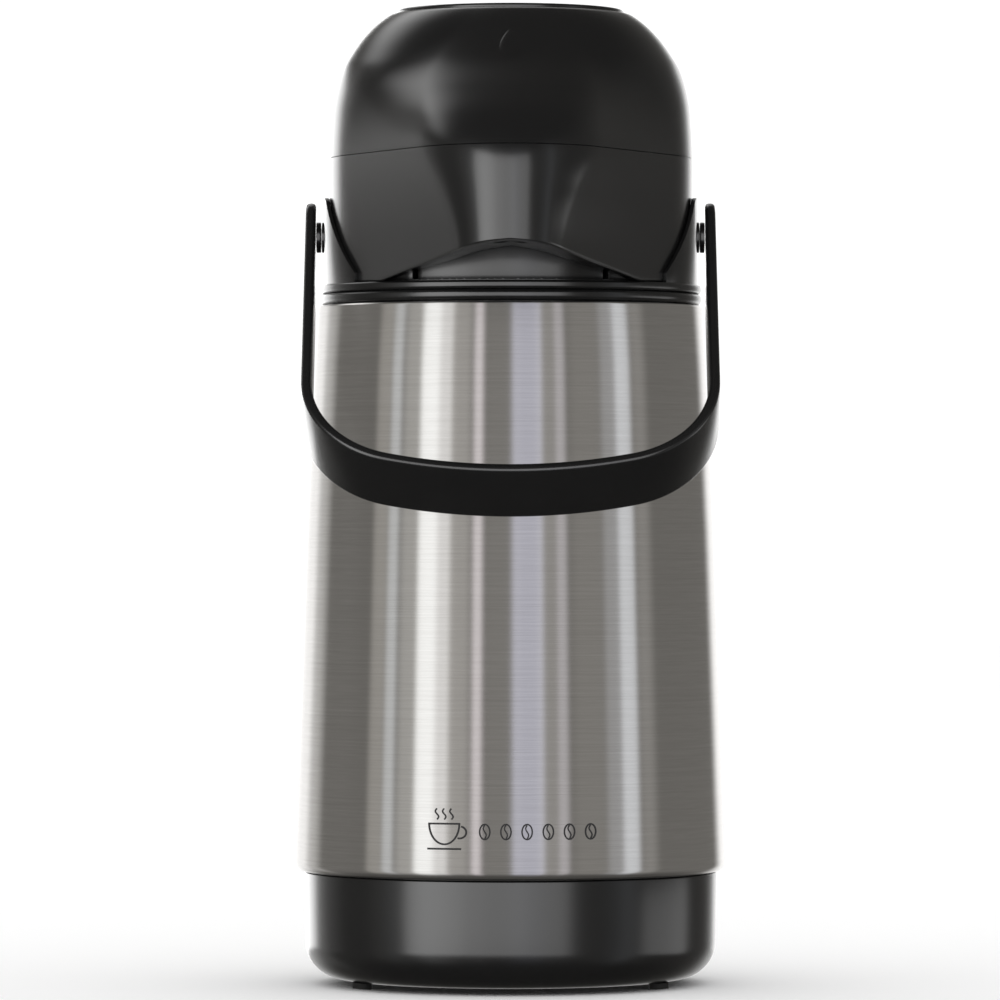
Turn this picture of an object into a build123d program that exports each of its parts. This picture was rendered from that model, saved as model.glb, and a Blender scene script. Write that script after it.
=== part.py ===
from build123d import *
import math
import os

# Push-pump airpot: a glass vacuum refill in a tapered steel sleeve, with a
# plastic base, a collar with a carrying handle, a shoulder with a beak, and a
# hinged lid that holds the bellows pump.
# Millimetres. Origin on the floor under the axis, +Z up, the beak points to -Y.

# ---------------------------------------------------------------- dimensions

FOOT_RING_RADIUS = 57.5
FOOT_LENGTH = 9.0
FOOT_WIDTH = 4.0
BASE_BOTTOM = 2.0
BASE_RADIUS = 70.0
BASE_TOP = 38.2
BASE_CORNER = 12.5
WALL = 2.2

SLEEVE_BOTTOM = 38.4
SLEEVE_TOP = 230.1
SLEEVE_WALL = 0.6
SLEEVE_LOW_RADIUS = 72.9
SLEEVE_TOP_RADIUS = 65.1
SLEEVE_MOUTH_RADIUS = 61.0

COLLAR_TOP = 237.0
COLLAR_RADIUS = 64.8
SPIGOT_OUTER = 59.2
SPIGOT_INNER = 57.1
SPIGOT_TOP = 249.5
SLOT_ANGLE = 32.4
SLOT_WIDTH = 2.2

PIVOT_HEIGHT = 253.4
EAR_INNER = 62.1
EAR_OUTER = 63.4
EAR_RISE = 13.2
BOSS_RADIUS = 5.2
BOSS_FACE = 64.15
STUB_RADIUS = 3.0
STUB_CLEARANCE = 0.05

HANDLE_WIDTH = 23.2
HANDLE_INNER = 65.9
HANDLE_THICKNESS = 3.6
HANDLE_STRAIGHT = 77.0
HANDLE_CORNER = 34.0
HANDLE_BOW = 166.0
HANDLE_REACH = 115.2
HANDLE_REST_ANGLE = 42.4
BEVEL_WIDTH = 5.0
BEVEL_ANGLE = 29.2

SEAM = 280.0
SHELL_BOTTOM = 237.2
DOME_TOP = 329.2
# Outer form of the head at one height: height, radius of the round back,
# reach of the nose tip from the axis, radius of the nose.
SHOULDER_FORM = [
    (232.0, 61.7, 106.0, 20.0),
    (249.0, 61.7, 106.0, 20.0),
    (265.0, 61.7, 105.7, 23.6),
    (SEAM - 0.08, 61.7, 103.0, 29.0),
]
LID_FORM = [
    (SEAM + 0.08, 61.7, 103.0, 29.0),
    (290.0, 61.3, 94.6, 30.6),
    (300.0, 60.3, 80.6, 32.8),
    (309.5, 57.8, 65.4, 36.0),
    (319.5, 50.2, 51.6, 38.0),
    (DOME_TOP, 39.7, 40.0, 34.0),
]

WELL_RADIUS = 38.9
WELL_WALL = 2.1
WELL_BOTTOM = 308.0
PLATE_RADIUS = 38.5
PLATE_TOP = 330.5

HINGE_Y = 62.8
HINGE_Z = 280.0
KNUCKLE_RADIUS = 4.2
KNUCKLE_HALF = 14.0
KNUCKLE_END = 24.0
PIN_RADIUS = 1.5

GLASS_WALL = 1.4
GLASS_OUTER = 53.5
GLASS_INNER = 48.5
GLASS_BOTTOM = 20.0
VACUUM_GAP = 5.0
GLASS_MOUTH = 230.0
NECK_OUTER = 27.0
NECK_INNER = 22.6

TUBE_RADIUS = 4.0
TUBE_BORE = 2.8
TUBE_BOTTOM = 33.0
TUBE_TOP = 248.0
BALL_RADIUS = 3.9
PIPE_RADIUS = 5.5
PIPE_BORE = 4.05
PIPE_HEIGHT = 264.0
OUTLET_Y = -91.0

STOPPER_SEAT = 240.4
CHAMBER_TOP = 273.0
GASKET_HEIGHT = 222.0
GASKET_RING = 20.1
GASKET_CORD = 1.1


# ------------------------------------------------------------------- helpers

def ring(outer, inner, low, high):
    """A plain round ring about the axis."""
    wall = Cylinder(outer, high - low) - Cylinder(inner, high - low)
    return Pos(0, 0, (low + high) / 2) * wall


def disc(radius, low, high):
    """A plain round disc about the axis."""
    return Pos(0, 0, (low + high) / 2) * Cylinder(radius, high - low)


def turned(edges):
    """A solid turned about the axis from outline edges in the XZ plane."""
    return revolve(make_face(Wire(edges)), Axis.Z)


def turned_polygon(points):
    """A solid turned from straight-sided outline points (radius, height)."""
    corners = [(r, 0, z) for r, z in points]
    return turned(Polyline(*corners, close=True).edges())


def along_x(radius, start, end, y, z):
    """A round bar parallel to X from start to end."""
    bar = Rot(0, 90, 0) * Cylinder(radius, end - start)
    return Pos((start + end) / 2, y, z) * bar


def save(node, *solids):
    """Write one sub-part; several separate solids go in as one group."""
    pieces = [s for shape in solids for s in shape.solids()]
    whole = pieces[0] if len(pieces) == 1 else Compound(children=pieces)
    export_step(whole, f"parts/{node}.step")


def head_section(height, back, reach, nose):
    """Plan section of the head: a round back and a round nose, joined by
    flanks tangent to both."""
    centre = reach - nose
    turn = math.acos((back - nose) / centre)
    s, c = math.sin(turn), math.cos(turn)
    right = Vector(back * s, -back * c, height)
    left = Vector(-back * s, -back * c, height)
    nose_right = Vector(nose * s, -centre - nose * c, height)
    nose_left = Vector(-nose * s, -centre - nose * c, height)
    edges = [
        ThreePointArc(right, Vector(0, back, height), left),
        Line(left, nose_left),
        ThreePointArc(nose_left, Vector(0, -reach, height), nose_right),
        Line(nose_right, right),
    ]
    return make_face(Wire([e.edge() for e in edges]))


def head_form(form, inset=0.0, drop=0.0):
    """The head's solid form between the first and last heights, offset
    inwards by inset, and with the top lowered by drop."""
    top = form[-1][0]
    sections = []
    for height, back, reach, nose in form:
        level = height - drop if height == top else height
        sections.append(head_section(level, back - inset, reach - inset, nose - inset))
    return loft(sections)


# ----------------------------------------------------------- base and sleeve

def make_feet():
    pad = extrude(SlotOverall(FOOT_LENGTH, FOOT_WIDTH), BASE_BOTTOM)
    placed = Pos(FOOT_RING_RADIUS, 0, 0) * Rot(0, 0, 90) * pad
    return [Rot(0, 0, angle) * placed for angle in (-30, 90, 210)]


def make_base_cap():
    top, low = BASE_TOP, BASE_BOTTOM
    edge = BASE_RADIUS - 0.5
    spigot = BASE_RADIUS - 2.4
    inner = spigot - WALL
    bend = BASE_CORNER * math.sqrt(0.5)
    hub = (edge - BASE_CORNER, low + BASE_CORNER)
    outline = [
        Line((0, 0, low), (hub[0], 0, low)),
        ThreePointArc((hub[0], 0, low), (hub[0] + bend, 0, hub[1] - bend), (edge, 0, hub[1])),
        Line((edge, 0, hub[1]), (BASE_RADIUS, 0, top)),
        Line((BASE_RADIUS, 0, top), (spigot, 0, top)),
        Line((spigot, 0, top), (spigot, 0, top + 14)),
        Line((spigot, 0, top + 14), (inner, 0, top + 14)),
        Line((inner, 0, top + 14), (inner, 0, hub[1] + 1)),
        Line((inner, 0, hub[1] + 1), (hub[0] - 2, 0, low + WALL)),
        Line((hub[0] - 2, 0, low + WALL), (0, 0, low + WALL)),
        Line((0, 0, low + WALL), (0, 0, low)),
    ]
    cup = turned([e.edge() for e in outline])
    post = ring(26.0, 22.0, low + WALL, 14.4)
    return cup + post


def make_base_ring():
    """Ring inside the sleeve's lower end that the base cap screws into."""
    return turned_polygon([(67.7, 42.2), (71.6, 42.2), (71.2, 54.0), (67.7, 54.0)])


def make_sleeve():
    """Tapered tube, its lower rim curled in and its top rim folded in."""
    def side(inset):
        return [
            (SLEEVE_LOW_RADIUS - inset, 0, SLEEVE_BOTTOM + 3.4),
            (70.6 - inset, 0, 103.0),
            (67.9 - inset, 0, 180.5),
            (SLEEVE_TOP_RADIUS - inset, 0, SLEEVE_TOP - 1.0),
        ]
    t = SLEEVE_WALL
    rim = BASE_RADIUS - 0.1
    outer, inner = side(0), side(t)
    top, under = SLEEVE_TOP, SLEEVE_TOP - t
    curl_outer = ThreePointArc((rim, 0, SLEEVE_BOTTOM), (72.0, 0, 39.2), outer[0])
    curl_inner = ThreePointArc(inner[0], (71.5, 0, 39.7), (rim, 0, SLEEVE_BOTTOM + t))
    fold = (SLEEVE_TOP_RADIUS - 1.0, 0, top)
    fold_under = (SLEEVE_TOP_RADIUS - 1.2, 0, under)
    edges = [
        curl_outer,
        Spline(*outer),
        ThreePointArc(outer[-1], (SLEEVE_TOP_RADIUS - 0.3, 0, top - 0.3), fold),
        Line(fold, (SLEEVE_MOUTH_RADIUS, 0, top)),
        Line((SLEEVE_MOUTH_RADIUS, 0, top), (SLEEVE_MOUTH_RADIUS, 0, under)),
        Line((SLEEVE_MOUTH_RADIUS, 0, under), fold_under),
        Line(fold_under, inner[-1]),
        Spline(*reversed(inner)),
        curl_inner,
        Line((rim, 0, SLEEVE_BOTTOM + t), (rim, 0, SLEEVE_BOTTOM)),
    ]
    return turned([e.edge() for e in edges])


# ------------------------------------------------------------- glass refill

def glass_bottle(radius, neck, bottom, mouth):
    """Solid outer form of one wall of the refill: dished bottom, straight
    body, round shoulder and a straight neck."""
    dish = 16.0
    shoulder = 188.0
    reach = radius - neck
    low_side = bottom + dish * 1.6
    edges = [
        ThreePointArc((0, 0, bottom), (radius * 0.66, 0, bottom + dish * 0.3), (radius, 0, low_side)),
        Line((radius, 0, low_side), (radius, 0, shoulder)),
        ThreePointArc(
            (radius, 0, shoulder),
            (radius - reach * 0.32, 0, shoulder + reach * 0.62),
            (neck, 0, shoulder + reach * 0.92),
        ),
        Line((neck, 0, shoulder + reach * 0.92), (neck, 0, mouth)),
        Line((neck, 0, mouth), (0, 0, mouth)),
        Line((0, 0, mouth), (0, 0, bottom)),
    ]
    return turned([e.edge() for e in edges])


def make_outer_glass():
    wall = GLASS_WALL
    body = glass_bottle(GLASS_OUTER, NECK_OUTER, GLASS_BOTTOM, GLASS_MOUTH)
    hollow = glass_bottle(GLASS_OUTER - wall, NECK_OUTER - wall, GLASS_BOTTOM + wall, GLASS_MOUTH - wall)
    return body - hollow - disc(NECK_INNER, 200, 240)


def make_inner_glass():
    wall = GLASS_WALL
    bottom = GLASS_BOTTOM + VACUUM_GAP
    body = glass_bottle(GLASS_INNER, NECK_INNER, bottom, GLASS_MOUTH)
    hollow = glass_bottle(GLASS_INNER - wall, NECK_INNER - wall, bottom + wall, GLASS_MOUTH + 5)
    return body - hollow


def make_spacers():
    gap = GLASS_OUTER - GLASS_WALL - GLASS_INNER
    pad = Pos(GLASS_INNER + gap / 2, 0, 62) * Rot(0, 90, 0) * Cylinder(4.0, gap + 4)
    space = ring(GLASS_OUTER - GLASS_WALL, GLASS_INNER, 50, 74)
    return [space & (Rot(0, 0, 120 * i) * pad) for i in range(3)]


def make_cushion():
    seat = ring(30.0, 6.0, 14.4, 27.0)
    return seat - glass_bottle(GLASS_OUTER, NECK_OUTER, GLASS_BOTTOM, GLASS_MOUTH)


# ----------------------------------------------------------- collar and ears

def ear_shape():
    """Side outline of an ear: a round-topped web that widens to the collar."""
    top = PIVOT_HEIGHT + EAR_RISE
    side = [(36, 234.5), (36, 240.2), (9.5, top)]
    outline = Polyline(*side, *[(-y, z) for y, z in reversed(side)], close=True)
    face = make_face(outline.edges())
    corners = face.vertices().sort_by(Axis.Y)
    return fillet(corners[-2:], 7.0)


def make_collar():
    r = COLLAR_RADIUS
    edges = [
        Line((SPIGOT_INNER, 0, 224.0), (SLEEVE_MOUTH_RADIUS - 0.2, 0, 224.0)),
        Line((SLEEVE_MOUTH_RADIUS - 0.2, 0, 224.0), (SLEEVE_MOUTH_RADIUS - 0.2, 0, SLEEVE_TOP + 0.1)),
        Line((SLEEVE_MOUTH_RADIUS - 0.2, 0, SLEEVE_TOP + 0.1), (r - 1.4, 0, SLEEVE_TOP + 0.1)),
        Line((r - 1.4, 0, SLEEVE_TOP + 0.1), (r - 1.2, 0, 230.8)),
        ThreePointArc((r - 1.2, 0, 230.8), (r, 0, 232.3), (r - 1.2, 0, 233.8)),
        Line((r - 1.2, 0, 233.8), (r - 1.2, 0, 234.2)),
        ThreePointArc((r - 1.2, 0, 234.2), (r - 0.1, 0, 235.4), (r - 0.8, 0, COLLAR_TOP)),
        Line((r - 0.8, 0, COLLAR_TOP), (SPIGOT_OUTER, 0, COLLAR_TOP)),
        Line((SPIGOT_OUTER, 0, COLLAR_TOP), (SPIGOT_OUTER, 0, SPIGOT_TOP)),
        Line((SPIGOT_OUTER, 0, SPIGOT_TOP), (SPIGOT_INNER, 0, SPIGOT_TOP)),
        Line((SPIGOT_INNER, 0, SPIGOT_TOP), (SPIGOT_INNER, 0, 246.0)),
        Line((SPIGOT_INNER, 0, 246.0), (54.0, 0, 246.0)),
        Line((54.0, 0, 246.0), (54.0, 0, 244.2)),
        Line((54.0, 0, 244.2), (SPIGOT_INNER, 0, 242.0)),
        Line((SPIGOT_INNER, 0, 242.0), (SPIGOT_INNER, 0, 224.0)),
    ]
    body = turned([e.edge() for e in edges])
    web = extrude(Plane.YZ * ear_shape(), 140, both=True)
    shell = ring(EAR_OUTER, EAR_INNER, 235.0, PIVOT_HEIGHT + 14)
    ears = (shell & web).solids()
    boss = along_x(BOSS_RADIUS, 60.0, BOSS_FACE, 0, PIVOT_HEIGHT) - disc(EAR_INNER, 200, 300)
    body += ears + [boss, mirror(boss, Plane.YZ)]
    bore = STUB_RADIUS + STUB_CLEARANCE
    bore_start, bore_end = SPIGOT_OUTER - 0.6, COLLAR_RADIUS + 5.2
    body -= along_x(bore, bore_start, bore_end, 0, PIVOT_HEIGHT)
    body -= along_x(bore, -bore_end, -bore_start, 0, PIVOT_HEIGHT)
    slot_height = SPIGOT_TOP - COLLAR_TOP
    slot = Box(SLOT_WIDTH, 12, slot_height + 1)
    slot = Pos(0, -SPIGOT_OUTER, COLLAR_TOP + slot_height / 2 + 1) * slot
    for angle in (-SLOT_ANGLE, SLOT_ANGLE):
        body -= Rot(0, 0, angle) * slot
    return body


def make_neck_gasket():
    return ring(27.5, 21.6, GLASS_MOUTH, 232.4)


def make_neck_plate():
    """Dished plate that bears on the glass mouth and leads the water in."""
    return turned_polygon([
        (21.6, 232.4), (27.5, 232.4), (27.5, 238.0), (53.0, 246.0),
        (56.9, 246.0), (56.9, 248.4), (52.5, 248.4), (26.8, STOPPER_SEAT), (21.6, STOPPER_SEAT),
    ])


# -------------------------------------------------------------------- handle

def strap_outline(gap, thickness):
    """Flat U outline of the strap between its inner line and its outer line,
    as X across and Y downwards from the pivot."""
    hub_x = gap - HANDLE_CORNER
    bow_y = HANDLE_REACH - HANDLE_BOW
    top = -HANDLE_WIDTH / 2

    def line_at(extra):
        corner = HANDLE_CORNER + extra
        bow = HANDLE_BOW + extra
        join = math.asin(hub_x / (HANDLE_BOW - HANDLE_CORNER))
        joint_x = hub_x + corner * math.sin(join)
        joint_y = HANDLE_STRAIGHT + corner * math.cos(join)
        half = (math.pi / 2 - join) / 2
        mid_x = hub_x + corner * math.cos(half)
        mid_y = HANDLE_STRAIGHT + corner * math.sin(half)
        bow_low = bow_y + bow
        return (gap + extra, joint_x, joint_y, mid_x, mid_y, bow_low)

    def right_to_left(extra):
        x, jx, jy, mx, my, low = line_at(extra)
        return [
            Line((x, top), (x, HANDLE_STRAIGHT)),
            ThreePointArc((x, HANDLE_STRAIGHT), (mx, my), (jx, jy)),
            ThreePointArc((jx, jy), (0, low), (-jx, jy)),
            ThreePointArc((-jx, jy), (-mx, my), (-x, HANDLE_STRAIGHT)),
            Line((-x, HANDLE_STRAIGHT), (-x, top)),
        ]

    ends = [
        Line((gap, top), (gap + thickness, top)),
        Line((-gap, top), (-gap - thickness, top)),
    ]
    edges = right_to_left(0) + right_to_left(thickness) + ends
    return make_face(Wire([e.edge() for e in edges]))


def make_handle():
    half = HANDLE_WIDTH / 2
    strap = Pos(0, 0, -half) * extrude(strap_outline(HANDLE_INNER, HANDLE_THICKNESS), HANDLE_WIDTH)
    rims = strap.edges().filter_by(lambda e: abs(abs(e.center().Z) - half) < 0.01)
    long_edges = rims.filter_by(lambda e: e.length > 12)
    strap = Rot(-90, 0, 0) * fillet(long_edges, 0.9)
    outer = HANDLE_INNER + HANDLE_THICKNESS
    corner_block = Pos(0, 0, half / 2) * Box(2 * outer + 10, 2 * half + 2, half + 0.01)
    strap -= corner_block - along_x(half, -outer - 5, outer + 5, 0, 0)
    low = HANDLE_REACH + HANDLE_THICKNESS
    bevel_block = Rot(BEVEL_ANGLE, 0, 0) * Pos(0, 5, -5) * Box(90, 20, 10)
    bevel_block = Pos(0, half - BEVEL_WIDTH, -low) * bevel_block
    strap -= bevel_block
    for side in (-1, 1):
        start, end = sorted((side * (BOSS_FACE + 0.15), side * (HANDLE_INNER + 0.5)))
        strap += along_x(BOSS_RADIUS, start, end, 0, 0)
        start, end = sorted((side * (EAR_INNER + 0.2), side * (HANDLE_INNER + 0.5)))
        strap += along_x(STUB_RADIUS, start, end, 0, 0)
    return Pos(0, 0, PIVOT_HEIGHT) * Rot(-HANDLE_REST_ANGLE, 0, 0) * strap


# ------------------------------------------------------- shoulder and beak

def arch_face(y, heights, lift=0.0):
    """Front outline of the arch under the beak, as a closed face at depth y:
    heights are (x, z) from the middle outwards."""
    half = [(x, y, z + lift) for x, z in heights]
    across = [(-x, depth, z) for x, depth, z in reversed(half[1:])] + half
    end = half[-1]
    edges = [
        Spline(*across),
        Line(end, (end[0], y, 225.0)),
        Line((end[0], y, 225.0), (-end[0], y, 225.0)),
        Line((-end[0], y, 225.0), (-end[0], y, end[2])),
    ]
    return make_face(Wire([e.edge() for e in edges]))


LIP_ARCH = [(0, 248.8), (10, 247.9), (18, 246.0), (26, 243.6), (34, 241.2), (46, 236.4)]
REAR_ARCH = [(0, 248.2), (10, 246.0), (18, 243.2), (26, 241.0), (34, 239.2), (46, 236.2)]


def arch_tool(lift=0.0):
    front = arch_face(-112.0, LIP_ARCH, lift)
    rear = arch_face(-SPIGOT_OUTER * 0.45, REAR_ARCH, lift)
    return loft([front, rear], ruled=True)


def knuckle(start, end, rise):
    """One hinge knuckle with a web that runs into the shell wall; rise is
    the height at which the web meets the wall, from the hinge axis."""
    back = HINGE_Y + KNUCKLE_RADIUS
    side = math.copysign(1.0, rise)
    web = Polyline(
        (59, HINGE_Z),
        (back, HINGE_Z),
        (back, HINGE_Z + side),
        (61.0, HINGE_Z + rise),
        (59, HINGE_Z + rise),
        close=True,
    )
    block = extrude(Plane.YZ * make_face(web.edges()), (end - start) / 2, both=True)
    block = Pos((start + end) / 2, 0, 0) * block
    return block + along_x(KNUCKLE_RADIUS, start, end, HINGE_Y, HINGE_Z) - disc(60.5, 250, 320)


def make_shoulder_shell():
    outer = head_form(SHOULDER_FORM)
    inner = head_form(SHOULDER_FORM, inset=WALL)
    cut = Pos(0, 0, 200) * Box(400, 400, 2 * (SHELL_BOTTOM - 200))
    shell = outer - inner - cut - arch_tool()
    gap = KNUCKLE_HALF + 0.3
    shell += [knuckle(-KNUCKLE_END, -gap, -12.0), knuckle(gap, KNUCKLE_END, -12.0)]
    shell -= along_x(KNUCKLE_RADIUS + 0.4, -gap, gap, HINGE_Y, HINGE_Z)
    shell -= along_x(PIN_RADIUS, -40, 40, HINGE_Y, HINGE_Z)
    return shell


def make_spout_cover():
    """Arched underside of the beak with the outlet hole."""
    inner = head_form(SHOULDER_FORM, inset=WALL + 0.05)
    sheet = (inner & arch_tool(1.8)) - arch_tool()
    sheet -= disc(SPIGOT_OUTER + 0.3, 200, 300)
    sheet -= Pos(0, 0, 200) * Box(400, 400, 2 * (SHELL_BOTTOM - 200))
    sheet -= Pos(0, OUTLET_Y, 250) * Cylinder(PIPE_RADIUS + 0.1, 30)
    return max(sheet.solids(), key=lambda s: s.volume)


# -------------------------------------------------------- stopper and outlet

def make_stopper():
    plug = disc(20.4, 214.0, STOPPER_SEAT + 0.1)
    plug -= Pos(0, 0, GASKET_HEIGHT) * Torus(GASKET_RING, GASKET_CORD)
    flange = disc(25.6, STOPPER_SEAT, STOPPER_SEAT + 5)
    chamber = disc(24.4, STOPPER_SEAT + 2, CHAMBER_TOP) - disc(22.0, STOPPER_SEAT + 5, CHAMBER_TOP + 1)
    body = plug + flange + chamber
    body -= disc(TUBE_RADIUS, 200, 260)
    for i in range(6):
        body -= Rot(0, 0, 30 + 60 * i) * Pos(13, 0, 0) * disc(1.3, 205, 250)
    body -= Pos(0, -20, PIPE_HEIGHT) * Rot(90, 0, 0) * Cylinder(PIPE_RADIUS, 20)
    return body


def make_stopper_gasket():
    return Pos(0, 0, GASKET_HEIGHT) * Torus(GASKET_RING, GASKET_CORD)


def make_dip_tube():
    return ring(TUBE_RADIUS, TUBE_BORE, TUBE_BOTTOM, TUBE_TOP)


def make_check_ball():
    """Ball that rests on the top of the dip tube and stops the drip back."""
    rise = math.sqrt(BALL_RADIUS**2 - TUBE_BORE**2)
    return Pos(0, 0, TUBE_TOP + rise) * Sphere(BALL_RADIUS)


def make_delivery_pipe():
    """Pipe up from the dip tube, forwards through the beak and down."""
    start = STOPPER_SEAT + 5.0
    bend = 10.0
    path = FilletPolyline(
        (0, 0, start), (0, 0, PIPE_HEIGHT), (0, OUTLET_Y, PIPE_HEIGHT), (0, OUTLET_Y, 252.5),
        radius=bend,
    )
    section = Plane(origin=(0, 0, start), z_dir=(0, 0, 1))
    outer = sweep(section * Circle(PIPE_RADIUS), path)
    bore = sweep(section * Circle(PIPE_BORE), path)
    return outer - bore


def make_nozzle():
    tip = ring(PIPE_BORE - 0.03, 2.9, 249.4, 253.8) + ring(PIPE_RADIUS, 2.9, 249.4, 252.45)
    return Pos(0, OUTLET_Y, 0) * tip


# -------------------------------------------------------------- lid and pump

def make_lid_shell():
    outer = head_form(LID_FORM)
    inner = head_form(LID_FORM, inset=WALL, drop=2.0)
    shell = outer - inner
    well = ring(WELL_RADIUS + WELL_WALL, WELL_RADIUS - 1, WELL_BOTTOM, DOME_TOP) & outer
    posts = screw_places(Cylinder(3.6, 60), 284.0 + 30)
    for post in posts:
        well += post & head_form(LID_FORM, inset=WALL / 2)
    shell += well
    shell -= disc(WELL_RADIUS, 270, 340)
    for pilot in screw_places(Cylinder(1.25, 12), 290.0):
        shell -= pilot
    shell += knuckle(-KNUCKLE_HALF, KNUCKLE_HALF, 10.0)
    for start, end in ((-KNUCKLE_END - 0.3, -KNUCKLE_HALF), (KNUCKLE_HALF, KNUCKLE_END + 0.3)):
        shell -= along_x(KNUCKLE_RADIUS + 0.4, start, end, HINGE_Y, HINGE_Z)
    shell -= along_x(PIN_RADIUS + 0.05, -40, 40, HINGE_Y, HINGE_Z)
    return shell


def screw_places(shape, height):
    return [Rot(0, 0, 45 + 90 * i) * Pos(50, 0, height) * shape for i in range(4)]


def make_pump_base():
    plate = disc(57.5, 281.0, 284.0)
    duct = ring(24.4, 22.0, 275.6, 281.5)
    rim = ring(34.2, 33.2, 283.5, 286.5)
    base = plate + duct + rim
    base -= disc(5.0, 270, 290)
    for hole in screw_places(Cylinder(1.6, 12), 284.0):
        base -= hole
    return base


def make_lid_gasket():
    return ring(24.4, 21.6, 273.3, 275.6)


def make_air_flap():
    return disc(9.0, 284.0, 285.0)


def make_screws():
    head = Cylinder(3.0, 1.8)
    shank = Cylinder(1.25, 12)
    return [
        Rot(0, 0, 45 + 90 * i) * Pos(50, 0, 0) * (Pos(0, 0, 280.1) * head + Pos(0, 0, 286.5) * shank)
        for i in range(4)
    ]


def make_catch():
    """Tongue in the lid's nose that drops into the shoulder."""
    tongue = Pos(0, -93.5, 279.0) * Box(14, 2.0, 12)
    foot = Pos(0, -89.5, 283.5) * Box(14, 10.0, 3)
    return tongue + foot


def make_bellows():
    """Thin bellows between the pump base and the clamp ring."""
    folds = 5
    low, high = 284.1, 325.0
    pitch = (high - low) / folds
    wide, narrow, wall = 32.6, 26.5, 1.0
    outside, inside = [], []
    for i in range(folds):
        z = low + i * pitch
        outside += [(narrow + wall, z), (wide, z + pitch / 2)]
        inside += [(narrow, z), (wide - wall * 1.4, z + pitch / 2)]
    outside.append((narrow + wall, high))
    inside.append((narrow, high))
    return turned_polygon(outside + inside[::-1])


def make_spring():
    low, height, turns, radius, wire = 285.6, 39.0, 7, 15.0, 0.8
    path = Helix(pitch=(height - 2) / turns, height=height - 2, radius=radius)
    start = path.edge()
    section = Plane(origin=start @ 0, z_dir=start % 0) * Circle(wire)
    return Pos(0, 0, low + 1) * sweep(section, path)


def make_clamp_ring():
    return ring(31.0, 22.0, 325.0, PLATE_TOP - 2.4)


def make_push_plate():
    r, top = PLATE_RADIUS, PLATE_TOP
    inner = r - 2.0
    lip = r + 1.9
    edges = [
        ThreePointArc((0, 0, top - 0.5), (r * 0.5, 0, top - 0.4), (r - 3.0, 0, top)),
        Line((r - 3.0, 0, top), (r - 0.8, 0, top)),
        ThreePointArc((r - 0.8, 0, top), (r - 0.23, 0, top - 0.23), (r, 0, top - 0.8)),
        Line((r, 0, top - 0.8), (r, 0, WELL_BOTTOM - 0.5)),
        Line((r, 0, WELL_BOTTOM - 0.5), (lip, 0, WELL_BOTTOM - 0.5)),
        Line((lip, 0, WELL_BOTTOM - 0.5), (r, 0, WELL_BOTTOM - 3.5)),
        Line((r, 0, WELL_BOTTOM - 3.5), (inner, 0, WELL_BOTTOM - 3.5)),
        Line((inner, 0, WELL_BOTTOM - 3.5), (inner, 0, top - 2.4)),
        Line((inner, 0, top - 2.4), (0, 0, top - 2.4)),
        Line((0, 0, top - 2.4), (0, 0, top - 0.5)),
    ]
    return turned([e.edge() for e in edges])


# ------------------------------------------------------------------- output

os.makedirs("parts", exist_ok=True)

save("rubber_feet", *make_feet())
save("base_cap", make_base_cap())
save("base_ring", make_base_ring())
save("steel_sleeve", make_sleeve())
save("glass_outer_wall", make_outer_glass())
save("glass_inner_wall", make_inner_glass())
save("glass_spacers", *make_spacers())
save("bottom_cushion", make_cushion())
save("collar", make_collar())
save("neck_gasket", make_neck_gasket())
save("neck_plate", make_neck_plate())
save("handle", make_handle())
save("shoulder_shell", make_shoulder_shell())
save("spout_cover", make_spout_cover())
save("stopper_body", make_stopper())
save("stopper_gasket", make_stopper_gasket())
save("dip_tube", make_dip_tube())
save("check_ball", make_check_ball())
save("delivery_pipe", make_delivery_pipe())
save("outlet_nozzle", make_nozzle())
save("hinge_pin", along_x(PIN_RADIUS, -KNUCKLE_END, KNUCKLE_END, HINGE_Y, HINGE_Z))
save("lid_shell", make_lid_shell())
save("pump_base", make_pump_base())
save("lid_gasket", make_lid_gasket())
save("air_valve_flap", make_air_flap())
save("lid_screws", *make_screws())
save("lid_catch", make_catch())
save("bellows", make_bellows())
save("return_spring", make_spring())
save("bellows_clamp_ring", make_clamp_ring())
save("push_plate", make_push_plate())
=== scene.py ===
import math

import bmesh
import bpy
from mathutils import Matrix, Vector
from mathutils.bvhtree import BVHTree


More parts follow.
